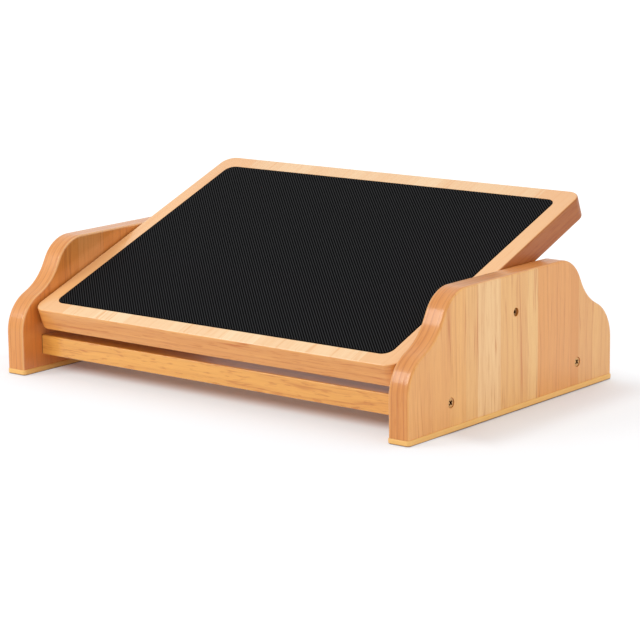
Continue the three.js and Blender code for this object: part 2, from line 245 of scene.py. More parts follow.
def slab(outline, thick, ease, steps=6):
    """A plate of this outline from height 0 up, with rims of radius ease."""
    if ease:
        turns = [math.pi / 2 * k / steps for k in range(steps + 1)]
        lower = [(ease * (1 - math.sin(t)), ease * (1 - math.cos(t))) for t in turns]
    else:
        lower = [(0, 0)]
    levels = lower + [(inward, thick - height) for inward, height in reversed(lower)]
    work = bmesh.new()
    rings = [[work.verts.new((x, y, height)) for x, y in inset(outline, inward)]
             for inward, height in levels]
    count = len(outline)
    for low, high in zip(rings, rings[1:]):
        for i in range(count):
            j = (i + 1) % count
            work.faces.new((low[i], low[j], high[j], high[i]))
    work.faces.new(list(reversed(rings[0])))
    work.faces.new(rings[-1])
    return work


trial = slab(rectangle(board_width, board_length, board_corner), board_thick, board_ease)
print("the board as a slab would have", len(trial.faces), "faces")
trial.free()

# %% [markdown]
# A standing slab has its outline in Y and Z and its thickness along X. The matrix that stands
# it up only swaps the axes round, so nothing is mirrored.

# %% Standing, mirroring and turning
standing = Matrix(((0, 0, 1, 0), (1, 0, 0, 0), (0, 1, 0, 0), (0, 0, 0, 1)))


def moved(work, matrix):
    """The same mesh somewhere else. A mirrored one is turned inside out again."""
    work.transform(matrix)
    if matrix.determinant() < 0:
        bmesh.ops.reverse_faces(work, faces=work.faces)
    return work


def at(x, y, z):
    """A matrix that moves by x, y and z."""
    return Matrix.Translation((x, y, z))


def trim(work, point, outward):
    """Takes away what lies beyond a plane through a point."""
    everything = work.verts[:] + work.edges[:] + work.faces[:]
    bmesh.ops.bisect_plane(work, geom=everything, plane_co=point, plane_no=outward,
                           clear_outer=True)


mirror = Matrix.Scale(-1, 4, (1, 0, 0))
both_sides = (("right", 1), ("left", -1))


def on_side(work, x_side, x=0):
    """Moves a mesh out along X. For the left side, whose x_side is -1, it is then mirrored."""
    moved(work, at(x, 0, 0))
    return moved(work, mirror) if x_side < 0 else work


def turned(profile, sides=48):
    """A solid turned about X. The profile is a list of (radius, height along X)."""
    work = bmesh.new()
    rings = []
    for radius, height in profile:
        if radius == 0:
            rings.append([work.verts.new((height, 0, 0))])
            continue
        angles = [2 * math.pi * k / sides for k in range(sides)]
        rings.append([work.verts.new((height, radius * math.cos(t), radius * math.sin(t)))
                      for t in angles])
    for low, high in zip(rings, rings[1:]):
        for i in range(sides):
            j = (i + 1) % sides
            corners = (low[i % len(low)], low[j % len(low)],
                       high[j % len(high)], high[i % len(high)])
            kept = list(dict.fromkeys(corners))
            if len(kept) > 2:
                work.faces.new(kept)
    bmesh.ops.recalc_face_normals(work, faces=work.faces)
    return work


print("helpers for slabs and turned pieces are ready")

# %% [markdown]
# ## From a mesh to a piece
#
# A piece is an object that rides on one of the two CAD bodies. Round parts are shaded smooth,
# edges sharper than 35 degrees stay crisp, and the Weighted Normal modifier keeps large flat
# faces flat where they meet a rounded rim. Holes are cut with the exact Boolean solver and
# the result is kept as a plain mesh, so no modifier is left.

# %% Objects, carving and smoothing
crisp_angle = math.radians(35)


def as_mesh(name, work):
    """Ends the work on a mesh."""
    mesh = bpy.data.meshes.new(name)
    work.to_mesh(mesh)
    work.free()
    return mesh


def as_object(name, work, place):
    """A new object from a mesh under work."""
    piece = bpy.data.objects.new(name, as_mesh(name, work))
    bpy.context.scene.collection.objects.link(piece)
    piece.matrix_world = place
    bpy.context.view_layer.update()
    return piece


def settle_modifiers(piece):
    """Keeps what the piece's modifiers make of it, and takes them off."""
    graph = bpy.context.evaluated_depsgraph_get()
    mesh = bpy.data.meshes.new_from_object(piece.evaluated_get(graph))
    piece.modifiers.clear()
    piece.data = mesh


def carve(piece, cutters):
    """Cuts holes into a piece. The cutters are in the piece's own frame."""
    solids = [as_object("cutter", work, piece.matrix_world) for work in cutters]
    for solid in solids:
        cut = piece.modifiers.new("cut", "BOOLEAN")
        cut.operation = "DIFFERENCE"
        cut.solver = "EXACT"
        cut.object = solid
    settle_modifiers(piece)
    for solid in solids:
        bpy.data.objects.remove(solid)


def smooth_shade(piece):
    """Shades a piece smooth between its crisp edges."""
    piece.data.shade_smooth()
    piece.data.set_sharp_from_angle(angle=crisp_angle)
    weigh = piece.modifiers.new("weigh", "WEIGHTED_NORMAL")
    weigh.keep_sharp = True
    settle_modifiers(piece)


def fit_piece(piece, body, finish, slot, *stands_for):
    """Gives a piece its body and its finish, and hides the CAD nodes that it stands for."""
    smooth_shade(piece)
    piece.data.materials.clear()
    piece.data.materials.append(finish)
    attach(piece, body)
    if stands_for:
        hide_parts(*stands_for)
    print(piece.name, "has", len(piece.data.polygons), "faces and rides on", body)


# %% [markdown]
# ## Mixing finishes
#
# A finish is a small network of nodes. Drawn by hand such networks grow long, so here they
# are written as sums: `Wire` holds one output of a node, and `+`, `-`, `*`, `/` and `**`
# between wires and numbers add the Math nodes that work them out. Any other node comes from
# `Finish.node`, which sets the node's own settings first and then its sockets.

# %% Wires that can be added and multiplied
class Wire:
    """One number that a node gives out, on its way to the next."""

    def __init__(self, finish, socket):
        self.finish = finish
        self.socket = socket

    def worked(self, operation, first, second):
        return self.finish.node("ShaderNodeMath", {"operation": operation}, {0: first, 1: second})

    def __add__(self, other):
        return self.worked("ADD", self, other)

    def __sub__(self, other):
        return self.worked("SUBTRACT", self, other)

    def __rsub__(self, other):
        return self.worked("SUBTRACT", other, self)

    def __mul__(self, other):
        return self.worked("MULTIPLY", self, other)

    __radd__, __rmul__ = __add__, __mul__

    def __truediv__(self, other):
        return self.worked("DIVIDE", self, other)

    def __pow__(self, other):
        return self.worked("POWER", self, other)

    def __abs__(self):
        return self.finish.node("ShaderNodeMath", {"operation": "ABSOLUTE"}, {0: self})


print("a wire can be added, subtracted, multiplied, divided, raised and made positive")

# %% The finish itself
def tone(red, green, blue):
    """A colour as a screen shows it, 0 to 255, turned into the light that Blender mixes."""
    parts = [v / 255 for v in (red, green, blue)]
    return tuple(v / 12.92 if v <= 0.04045 else ((v + 0.055) / 1.055) ** 2.4 for v in parts) + (1,)


class Finish:
    """A material under construction, with one shader at its end."""

    def __init__(self, name):
        self.material = bpy.data.materials.new(name)
        self.material.use_nodes = True
        self.tree = self.material.node_tree
        self.tree.nodes.clear()
        self.output = self.tree.nodes.new("ShaderNodeOutputMaterial")

    def node(self, kind, settings, sockets, out=0):
        node = self.tree.nodes.new(kind)
        for key, value in settings.items():
            if key == "stops":
                self.set_stops(node.color_ramp, value)
            else:
                setattr(node, key, value)
        for key, value in sockets.items():
            self.feed(node.inputs[key], value)
        return Wire(self, node.outputs[out])

    def feed(self, socket, value):
        if isinstance(value, Wire):
            self.tree.links.new(value.socket, socket)
        else:
            socket.default_value = value

    def set_stops(self, ramp, stops):
        while len(ramp.elements) > 1:
            ramp.elements.remove(ramp.elements[-1])
        for number, (place, colour) in enumerate(stops):
            stop = ramp.elements[0] if number == 0 else ramp.elements.new(place)
            stop.position = place
            stop.color = colour

    def mix(self, share, first, second, blend="MIX"):
        """Between two colours."""
        return self.node("ShaderNodeMix", {"data_type": "RGBA", "blend_type": blend},
                         {0: share, 6: first, 7: second}, out=2)

    def smooth(self, value, low, high):
        """0 below low, 1 above high, and an even curve between."""
        return self.node("ShaderNodeMapRange", {"interpolation_type": "SMOOTHSTEP"},
                         {0: value, 1: low, 2: high, 3: 0.0, 4: 1.0})

    def noise(self, vector, scale, detail=2.0, roughness=0.5):
        return self.node("ShaderNodeTexNoise", {}, {"Vector": vector, "Scale": scale,
                                                    "Detail": detail, "Roughness": roughness})

    def place(self):
        """Where a point is in its own piece, in metres."""
        return self.node("ShaderNodeTexCoord", {}, {}, out=3)

    def facing(self):
        """Which way the surface faces in its own piece."""
        return self.node("ShaderNodeTexCoord", {}, {}, out=1)

    def parts(self, vector):
        """The X, Y and Z of a vector."""
        node = self.node("ShaderNodeSeparateXYZ", {}, {0: vector}).socket.node
        return [Wire(self, socket) for socket in node.outputs]

    def joined(self, x, y, z):
        return self.node("ShaderNodeCombineXYZ", {}, {0: x, 1: y, 2: z})

    def bumps(self, height, depth, strength):
        """A normal that follows a height, whose full range is depth metres."""
        return self.node("ShaderNodeBump", {},
                         {"Strength": strength, "Distance": depth, "Height": height})

    def shaded(self, **sockets):
        """Ends the network in one Principled shader. Underscores stand for spaces."""
        named = {key.replace("_", " "): value for key, value in sockets.items()}
        shader = self.node("ShaderNodeBsdfPrincipled", {}, named)
        self.tree.links.new(shader.socket, self.output.inputs[0])
        return self.material


print("a mid wood tone is", [round(v, 3) for v in tone(230, 176, 120)])

# %% [markdown]
# ## Lacquered wood
#
# The wood is a pale, warm timber glued up from staves, under a clear satin lacquer. Four
# things make it read as wood: each stave has a tint of its own, long soft streaks run with
# the grain, thin darker lines follow the growth rings, and short flecks are the open pores.
# All of them are noise stretched along the grain. The lacquer is the shader's coat, which
# gives the whitish gloss that the photograph shows on the rounded shoulders.
#
# `grain` works on a vector whose first part runs across the grain. Squeezing the part that
# runs along the grain is what stretches the noise.

# %% Grain
def grain(finish, across, along, deep, seed, flecks):
    """How dark the wood is, from 0 to 1, and how high its surface stands."""
    wander = finish.noise(finish.joined(across, along * 0.5, deep), 16.0, 2.0) - 0.5
    bent = across + wander * (9 * mm)
    seat = finish.joined(bent + seed, along * 0.035, deep + seed * 0.7)
    broad = finish.noise(seat, 60.0, 2.0)
    streak = finish.noise(seat, 260.0, 3.0, 0.6)
    fibre = finish.noise(finish.joined(bent + seed, along * 0.03, deep), 1100.0, 3.0, 0.6)
    ring_source = finish.noise(seat, 110.0, 1.0)
    ring = 1 - finish.smooth(abs(ring_source - 0.52), 0.0, 0.03)
    pores = finish.noise(finish.joined(bent + seed, along * 0.11, deep), 620.0, 2.0)
    dark = (finish.smooth(broad, 0.35, 0.75) * 0.16 + finish.smooth(streak, 0.38, 0.72) * 0.26
            + ring * finish.smooth(streak, 0.4, 0.6) * 0.55 + finish.smooth(fibre, 0.42, 0.75) * 0.2
            + finish.smooth(pores, 0.56, 0.68) * flecks)
    return dark, fibre * 0.7 + ring * -0.3


print("grain is ready")

# %% [markdown]
# A board's broad faces show long grain and its staves, and its edges show the layers that it
# is glued from. The facing of the surface, taken in the piece's own frame, tells the two
# apart, so the change happens on the rounded rim. The stave tints are stops on a Color Ramp
# that doesn't blend from one to the next. A panel's inner rim carries a pale line, a painted
# highlight. End grain drinks the lacquer, so the edges carry a thinner coat where they are
# dark.

# %% A finish for a glued panel
def glued_wood(name, face, across, along, staves, layers, span, thick, shift=0.0, seed=0.0,
               edge_tint=tone(196, 112, 44), streak_tint=tone(212, 127, 38),
               side_shade=(1, 1, 1, 1), side_dull=0.0, inner=0, painted_far_shade=None, painted_under_shade=None):
    """Wood with staves on its broad faces and layers on its edges. face, across and along
    are the numbers of the axes: 0 for X, 1 for Y and 2 for Z. The two edges that face
    across can be darker, by side_shade, and carry less lacquer, by side_dull. inner is the
    side, 1 or -1, whose rim gets a pale line, a painted highlight. The far end and the
    underside of a lying board can be darker, as painted shade, by painted_far_shade and
    painted_under_shade."""
    finish = Finish(name)
    place = finish.parts(finish.place())
    facing = finish.parts(finish.facing())
    broad_face = finish.smooth(abs(facing[face]), 0.5, 0.85)

    dark, height = grain(finish, place[across], place[along], place[face], seed, 0.12)
    spot = (place[across] + shift) / span + 0.5
    stave = finish.node("ShaderNodeValToRGB", {"stops": staves}, {0: spot})
    stave.socket.node.color_ramp.interpolation = "CONSTANT"
    face_colour = finish.mix(dark, stave, streak_tint)

    length = place[across] + place[along]
    edge_dark, edge_height = grain(finish, place[face] * 1.6, length * 0.8, place[across] * 0.03,
                                   seed + 0.4, 0.5)
    depth = abs(place[face]) / thick
    layer = finish.node("ShaderNodeValToRGB", {"stops": layers}, {0: depth})
    to_side = finish.smooth(abs(facing[across]), 0.6, 0.9)
    edge_colour = finish.mix(edge_dark * 0.8, layer, edge_tint)
    edge_colour = finish.mix(to_side, edge_colour, side_shade, "MULTIPLY")

    colour = finish.mix(broad_face, edge_colour, face_colour)
    # A painted highlight: a pale line along the inner rounded rim of a panel.
    if inner:
        rim = (finish.smooth(facing[face] * inner, 0.25, 0.45)
               * (1 - finish.smooth(facing[face] * inner, 0.8, 0.95)))
        colour = finish.mix(rim * 0.35, colour, tone(252, 206, 142))
    # Painted shade: the board darkens towards its far end, where less light reaches, and on its
    # underside, which lies in its own shadow.
    if painted_far_shade:
        far = finish.smooth(place[along], 20 * mm, span / 2)
        under = finish.smooth(facing[face], -0.5, -0.85)
        colour = finish.mix(far, colour, painted_far_shade, "MULTIPLY")
        colour = finish.mix(under, colour, painted_under_shade, "MULTIPLY")
    relief = height * broad_face + edge_height * (1 - broad_face)
    return finish.shaded(
        Base_Color=colour,
        Roughness=0.42 + relief * 0.1,
        Coat_Weight=0.85 - to_side * side_dull - edge_dark * (1 - broad_face) * 0.7,
        Coat_Roughness=0.16,
        Coat_IOR=1.5,
        Normal=finish.bumps(relief, 0.05 * mm, 0.35),
    )


print("glued wood is ready")

# %% [markdown]
# The panels and the board are made the same way and differ in how their staves lie. On a panel
# the grain stands upright and broad staves follow each other from front to back. The left
# panel gets deeper, redder tints, a seed and a shift of its own. The board's staves are
# narrower and run from front to back. It darkens a little towards the back and on its
# underside, both of which are painted shade. Its ends, which nobody polishes, are darker and
# duller.

# %% Stave tints
def stops(*rows):
    """Stops for a Color Ramp, each given as its place and its red, green and blue."""
    return [(place, tone(*parts)) for place, *parts in rows]


def deeper(stops, share):
    """The same stops with every tint's light multiplied by a share for each of its parts."""
    return [(place, tuple(v * s for v, s in zip(tint, share))) for place, tint in stops]


panel_staves = stops((0, 244, 176, 96), (0.19, 250, 188, 106), (0.263, 248, 192, 117),
                     (0.32, 254, 208, 147), (0.427, 246, 189, 113), (0.56, 250, 198, 124),
                     (0.61, 240, 165, 77), (0.667, 242, 168, 82), (0.78, 233, 156, 68),
                     (0.823, 241, 177, 99), (0.89, 243, 182, 103))
panel_layers = stops((0, 230, 162, 82), (0.15, 224, 151, 69), (0.19, 202, 128, 52),
                     (0.23, 224, 151, 69), (0.42, 226, 153, 71), (0.46, 200, 125, 49),
                     (0.5, 222, 148, 66), (0.74, 226, 153, 71), (0.78, 207, 133, 57),
                     (0.82, 224, 151, 69), (1, 224, 151, 70))
board_count = 11
board_creams = [tone(246, 206, 154), tone(244, 200, 146), tone(248, 212, 163), tone(245, 203, 150)]
board_staves = [(k / board_count, board_creams[k * 3 % 4]) for k in range(board_count)]
for k in (0, -1):
    board_staves[k] = (board_staves[k][0], tone(241, 184, 122))
board_layers = stops((0, 234, 162, 77), (0.3, 230, 156, 74), (0.36, 220, 144, 64),
                     (0.42, 234, 162, 77), (0.7, 228, 154, 72), (1, 236, 168, 86))
print("a panel shows", len(panel_staves), "staves and the board", board_count)

# %% The glued boards' finishes
right_panel_wood = glued_wood("right_panel_wood", 0, 1, 2, deeper(panel_staves, (1, 0.98, 0.88, 1)),
                              deeper(panel_layers, (0.97, 0.9, 0.8, 1)), panel_depth, panel_thick,
                              inner=-1)
left_panel_wood = glued_wood("left_panel_wood", 0, 1, 2,
                             deeper(panel_staves, (0.85, 0.57, 0.34, 1)),
                             deeper(panel_layers, (1.02, 0.96, 0.86, 1)), panel_depth, panel_thick,
                             shift=21 * mm, seed=0.37, streak_tint=tone(190, 106, 44), inner=1)
board_wood = glued_wood("board_wood", 2, 0, 1, board_staves, board_layers, board_width, board_thick,
                        seed=0.83, streak_tint=tone(236, 172, 104), edge_tint=tone(194, 108, 42),
                        side_shade=(0.6, 0.4, 0.16, 1), side_dull=0.6,
                        painted_far_shade=(0.92, 0.87, 0.82, 1), painted_under_shade=(0.75, 0.58, 0.42, 1))
print("mixed:", [wood.name for wood in (right_panel_wood, left_panel_wood, board_wood)])

# %% [markdown]
# The crossbars, the blocks and the dowels are plain sawn wood, with the grain along their
# length on every side. The bars are lacquered and more yellow than the panels. Their upper
# side is a little darker and duller, a painted shade for the board's shadow over it. The
# blocks are only sanded and the dowels are raw.

# %% Plain sawn wood
def sawn_wood(name, along, light, dark_tint, seed, coat, rough, length=0.0, painted_top_shade=None):
    """Wood with its grain along one axis: 0 for X, 1 for Y and 2 for Z. A piece that starts at
    0 and has a length gets a dark line at its two ends, where it butts against another. Its
    upper side can be darker, a painted shade, by painted_top_shade, and then carries less
    lacquer."""
    finish = Finish(name)
    place = finish.parts(finish.place())
    others = [axis for axis in range(3) if axis != along]
    dark, height = grain(finish, place[others[0]] + place[others[1]] * 0.9, place[along],
                         place[others[1]] * 0.35, seed, 0.5)
    colour = finish.mix(dark, light, dark_tint)
    if length:
        half = length / 2
        butt = finish.smooth(abs(place[along] - half), half - 1 * mm, half - 0.6 * mm)
        colour = finish.mix(butt * 0.8, colour, tone(96, 52, 24))
    # A painted shade: the upper side is darkened and carries less lacquer, for the shadow of the
    # board above.
    if painted_top_shade:
        upper = finish.smooth(finish.parts(finish.facing())[2], 0.5, 0.9)
        colour = finish.mix(upper, colour, painted_top_shade, "MULTIPLY")
        coat = coat - upper * (0.8 * coat)
    return finish.shaded(
        Base_Color=colour,
        Roughness=rough + height * 0.1,
        Coat_Weight=coat,
        Coat_Roughness=0.14,
        Normal=finish.bumps(height, 0.05 * mm, 0.4),
    )


bar_wood = sawn_wood("bar_wood", 0, tone(242, 174, 77), tone(204, 122, 40), 1.31, 0.7, 0.4,
                     length=clear_width, painted_top_shade=(0.9, 0.76, 0.56, 1))
block_wood = sawn_wood("block_wood", 1, tone(226, 182, 128), tone(190, 136, 82), 2.17, 0.0, 0.6)
dowel_wood = sawn_wood("dowel_wood", 0, tone(226, 196, 150), tone(196, 156, 104), 2.9, 0.0, 0.7)
print("mixed:", [wood.name for wood in (bar_wood, block_wood, dowel_wood)])

# %% [markdown]
# ## Rubber, metal and plastic
#
# The mat's ribs are real geometry, so its rubber only needs a fine dusty grain, with the tops
# of the ribs painted grey as a highlight. The base strips are a pale, soft rubber, dark brown
# along the bottom where they touch the floor. The screws have a yellow zinc plate, a little
# worn, with painted shade in their recess, and the pivot bolts a bronze one. Each is a mix of
# two tones by a noise of the right size, with the same noise on its roughness.

# %% Mottled finishes
def mottled(name, light, dark, scale, rough, rough_range, bump, **more):
    """A material whose tone and roughness drift between two values."""
    finish = Finish(name)
    cloud = finish.noise(finish.place(), scale, 4.0, 0.6)
    speck = finish.noise(finish.place(), scale * 9, 2.0, 0.5)
    share = finish.smooth(cloud * 0.7 + speck * 0.3, 0.35, 0.65)
    return finish.shaded(
        Base_Color=finish.mix(share, dark, light),
        Roughness=rough + share * rough_range,
        Normal=finish.bumps(speck, bump, 0.5),
        **more,
    )


def ribbed_rubber():
    """Near black rubber whose ribs carry a painted grey highlight along their tops."""
    finish = Finish("mat_rubber")
    place = finish.parts(finish.place())
    speck = finish.noise(finish.place(), 900.0, 3.0)
    # A painted highlight: the top few tenths of a millimetre of each rib are grey.
    sheen_from, sheen_to = 0.32 * mm, 0.04 * mm  # below the tops of the ribs
    top_sheen = finish.smooth(place[2], mat_thick - sheen_from, mat_thick - sheen_to)
    return finish.shaded(
        Base_Color=finish.mix(top_sheen * (0.6 + 0.4 * speck), tone(4, 4, 5), tone(53, 53, 54)),
        Roughness=0.6 + speck * 0.15,
        Specular_IOR_Level=0.01,
        Normal=finish.bumps(speck, 0.03 * mm, 0.5),
    )


mat_rubber = ribbed_rubber()


def strip_rubber():
    """Pale yellow rubber, dark brown along its lowest millimetre, with a wavy border."""
    finish = Finish("base_rubber")
    height = finish.parts(finish.place())[2]
    cloud = finish.noise(finish.place(), 60.0, 4.0)
    # Darker towards the bottom: below about a millimetre, with a wavy border, the rubber turns dark
    # brown.
    above_dark_foot = finish.smooth(height + cloud * (0.6 * mm), 0.9 * mm, 1.5 * mm)
    pale_rubber = finish.mix(cloud, tone(250, 200, 120), tone(240, 180, 94))
    return finish.shaded(
        Base_Color=finish.mix(above_dark_foot, tone(150, 96, 50), pale_rubber),
        Roughness=0.42 + cloud * 0.1,
        Normal=finish.bumps(cloud, 0.03 * mm, 0.5),
    )


base_rubber = strip_rubber()
print("both rubbers are mixed")


# %% Plated metal
def plated_screw(name, axis, head):
    """Yellow plate on a screw along an axis, with painted shade inside the recess of its head."""
    finish = Finish(name)
    place = finish.parts(finish.place())
    depth = abs(place[axis])
    a, b = (place[other] for other in range(3) if other != axis)
    from_cone = (a * a + b * b) ** 0.5 + depth
    # Painted shade: inside the head's recess, deeper than a few tenths of a millimetre, the plate
    # turns dark brown.
    recess = (finish.smooth(depth, 0.15 * mm, 0.5 * mm)
              * (1 - finish.smooth(from_cone, head - 0.4 * mm, head + 0.2 * mm)))
    cloud = finish.smooth(finish.noise(finish.place(), 900.0, 4.0, 0.6), 0.35, 0.65)
    plate = finish.mix(cloud, tone(196, 148, 92), tone(230, 184, 128))
    return finish.shaded(
        Base_Color=finish.mix(recess, plate, tone(96, 46, 10)),
        Roughness=0.28 + cloud * 0.2 + recess * 0.3,
        Metallic=1.0,
        Normal=finish.bumps(cloud, 0.01 * mm, 0.4),
    )


bar_screw_size = (4 * mm, 2.1 * mm, 50 * mm)  # radius of head and shank, and length
block_screw_size = (3.5 * mm, 1.75 * mm, 30 * mm)
screw_metal = plated_screw("screw_metal", 0, bar_screw_size[0])
block_screw_metal = plated_screw("block_screw_metal", 2, block_screw_size[0])
bolt_metal = mottled("bolt_metal", tone(190, 150, 102), tone(134, 100, 62), 700.0, 0.3, 0.2,
                     0.01 * mm, Metallic=1.0)
insert_metal = mottled("insert_metal", tone(206, 172, 96), tone(176, 140, 70), 500.0, 0.3, 0.15,
                       0.01 * mm, Metallic=1.0)
bush_plastic = mottled("bush_plastic", tone(238, 234, 224), tone(228, 222, 208), 300.0, 0.4, 0.1,
                       0.01 * mm, Subsurface_Weight=0.1, Subsurface_Scale=0.001)
washer_rubber = mottled("washer_rubber", tone(48, 48, 50), tone(36, 36, 38), 600.0, 0.55, 0.15,
                        0.02 * mm)
print("the metals, the plastic and the washers' rubber are mixed")

# %% [markdown]
# ## Fixings
#
# A countersunk screw is a turned piece with a crossed slot. Its recess narrows as it goes
# down, so the cutter is a pair of wedges set across each other. The head is crowned by a
# fraction of a millimetre, which is what catches the light.

# %% Screws
screw_rim = 0.4 * mm
screw_sink = 0.4 * mm
screw_tip = 4 * mm
screw_crown = 0.25 * mm
cross_shares = (0.7, 0.19, 0.75)  # of the head's radius: half length, half width and depth
cross_turn = 40  # degrees


def cross_cutters(radius):
    """Two wedges that cut a crossed recess, open upwards along X and narrowing downwards."""
    span, width, depth = (share * radius for share in cross_shares)
    low_end = (-depth, 0.45 * span, 0.7 * width)
    high_end = (0.3 * depth, 1.1 * span, 1.05 * width)
    wedges = []
    for angle in (cross_turn, cross_turn + 90):
        work = bmesh.new()
        for vert in bmesh.ops.create_cube(work, size=2)["verts"]:
            x, y, z = low_end if vert.co.x < 0 else high_end
            vert.co = (x, vert.co.y * y, vert.co.z * z)
        wedges.append(moved(work, Matrix.Rotation(math.radians(angle), 4, "X")))
    return wedges


def screw_work(head, shank, length, sides=48):
    """A countersunk screw with its head's rim at height 0 and its point at -length."""
    cone = screw_rim + head - shank
    brim = -screw_rim * 0.4
    dome = [(head * math.cos(t), brim + screw_crown * math.sin(t))
            for t in (math.radians(a) for a in range(10, 90, 10))]
    return turned([(0, -length), (shank, -length + screw_tip), (shank, -cone), (head, -screw_rim),
                   (head, brim), *dome, (0, brim + screw_crown)], sides)


for side, x_side in both_sides:
    for end, y in bar_places.items():
        place = at(x_side * (outer_face - screw_sink), y, bar_height)
        screw = as_object(f"{side}_{end}_bar_screw_head",
                          on_side(screw_work(*bar_screw_size), x_side), place)
        carve(screw, [on_side(wedge, x_side) for wedge in cross_cutters(bar_screw_size[0])])
        fit_piece(screw, "frame", screw_metal, "screw_metal", f"{side}_{end}_bar_screw")

# %% [markdown]
# The pivot bolt has a small cylinder head with a hexagon socket, sunk below the panel's face.
# It turns in the frame's bush but belongs to the platform, so it rides with the platform.

# %% Sizes of the bolts, bushes and washers
overrun = 1.5 * mm  # how far a cutter runs past the face that it opens
bolt_radius = 2.5 * mm
bolt_chamfer = 0.5 * mm
bolt_head_radius = 3.4 * mm
bolt_head_length = 4 * mm
bolt_head_ease = ((0, 0.25 * mm), (0.1 * mm, 0.08 * mm), (0.3 * mm, 0))  # inwards and down
bolt_sink = 1.3 * mm
bolt_reach = 11.5 * mm
socket_radius = 1.6 * mm
socket_depth = 2.4 * mm
socket_point = 0.2 * mm
bush_wall = 1.2 * mm
bush_length = 13 * mm
flange_radius = 5.8 * mm
flange_thick = 1 * mm
flange_chamfer = 0.2 * mm
washer_chamfer = 0.3 * mm
print("a bolt's head is", round(2 * bolt_head_radius / mm, 1), "mm across")

# %% Pivot bolts, bushes and washers
bolt_length = panel_thick - bolt_sink + block_gap + bolt_reach
bolt_profile = [(0, -bolt_length), (bolt_radius - bolt_chamfer, -bolt_length),
                (bolt_radius, -bolt_length + bolt_chamfer), (bolt_radius, -bolt_head_length),
                (bolt_head_radius, -bolt_head_length),
                *((bolt_head_radius - inwards, -down) for inwards, down in bolt_head_ease), (0, 0)]
socket_profile = [(0, -socket_depth), (socket_radius, socket_point - socket_depth),
                  (socket_radius, overrun), (0, overrun)]
bore = bolt_radius + fit
bush_radius = bore + bush_wall
bush_profile = [(bore, -flange_thick), (flange_radius - flange_chamfer, -flange_thick),
                (flange_radius, flange_chamfer - flange_thick), (flange_radius, 0),
                (bush_radius, 0), (bush_radius, bush_length), (bore, bush_length),
                (bore, -flange_thick)]
washer_thick = block_gap - flange_thick - 2 * fit
washer_rim = flange_radius - washer_chamfer
washer_profile = [(bore, 0), (washer_rim, 0), (flange_radius, washer_chamfer),
                  (flange_radius, washer_thick - washer_chamfer), (washer_rim, washer_thick),
                  (bore, washer_thick), (bore, 0)]

for side, x_side in both_sides:
    bolt = as_object(f"{side}_pivot_bolt_head",
                     on_side(turned(bolt_profile), x_side, outer_face - bolt_sink), platform_place)
    carve(bolt, [on_side(turned(socket_profile, sides=6), x_side, outer_face - bolt_sink)])
    fit_piece(bolt, "platform", bolt_metal, "bolt_metal", f"{side}_pivot_bolt")
    bush = as_object(f"{side}_pivot_bush_smooth",
                     on_side(turned(bush_profile), x_side, inner_face), Matrix.Translation(pivot))
    fit_piece(bush, "frame", bush_plastic, "bush_plastic", f"{side}_pivot_bush")
    washer = as_object(f"{side}_friction_washer_smooth",
                       on_side(turned(washer_profile), x_side, block_face + fit), platform_place)
    fit_piece(washer, "platform", washer_rubber, "washer_rubber", f"{side}_friction_washer")

# %% [markdown]
# ## Side panels
#
# A panel is one slab. Its outline steps up from a rounded shoulder through a hollow to a
# rounded crown, the same at the front and the back. The outline is drawn past the foot and
# trimmed there, because the foot isn't rounded over: it stands on its strip. Then the places
# of the two screws and the bolt are cut into the outer face.

# %% The panel's outline
edge = panel_depth / 2
hollow = edge - lower_step[0]
crown = hollow - upper_step[0]
below = -panel_ease - overrun
front_corners = [(-edge, below, 0), (-edge, shoulder[0], shoulder[1]),
                 (-hollow, shoulder[0] + lower_step[1], lower_step[2]),
                 (-crown, panel_height, upper_step[1])]
back_corners = [(-y, z, radius) for y, z, radius in reversed(front_corners)]
outline = rounded(list(reversed(front_corners + back_corners)))
print("the panel's outline has", len(outline), "points")

# %% Panels with their holes
screw_room = 0.42 * mm  # round a screw's head
hole_depth = 20 * mm


def countersink(head, shank):
    """The hole for a screw whose rim lies at height 0, with room round it."""
    wide, narrow = head + screw_room, shank + fit
    return turned([(0, -hole_depth), (narrow, -hole_depth), (narrow, narrow - wide - screw_rim),
                   (wide, -screw_rim), (wide, overrun), (0, overrun)])


def panel_work():
    """The right panel, with its inner face at x = 0 and its foot at z = 0."""
    work = moved(slab(outline, panel_thick, panel_ease, steps=7), standing)
    trim(work, (0, 0, 0), (0, 0, -1))
    rim = [e for e in work.edges if e.is_boundary]
    bmesh.ops.contextual_create(work, geom=rim)
    bmesh.ops.recalc_face_normals(work, faces=work.faces)
    return work


def panel_cutters():
    """The holes for the two bar screws and the seat of the bolt's head."""
    cutters = []
    for y in bar_places.values():
        hole = countersink(*bar_screw_size[:2])
        cutters.append(moved(hole, at(panel_thick - screw_sink, y, bar_height - strip_height)))
    radius, depth = bolt_head_radius + fit, bolt_sink + bolt_head_length + fit
    seat = turned([(0, -depth), (radius, -depth), (radius, overrun), (0, overrun)])
    cutters.append(moved(seat, at(panel_thick, pivot.y, pivot.z - strip_height)))
    return cutters


panel_finishes = {"right": right_panel_wood, "left": left_panel_wood}
for side, x_side in both_sides:
    panel = as_object(f"{side}_panel_smooth", on_side(panel_work(), x_side),
                      at(x_side * inner_face, 0, strip_height))
    carve(panel, [on_side(cutter, x_side) for cutter in panel_cutters()])
    fit_piece(panel, "frame", panel_finishes[side], "panel_wood", f"{side}_side_panel")

# %% [markdown]
# ## Base strips and crossbars
#
# Each panel stands on a strip of soft rubber that is a little wider than the panel, with its
# rims rounded. The crossbars are flat slats with eased edges. Their finish holds the fine dark
# line where they butt against the panels.

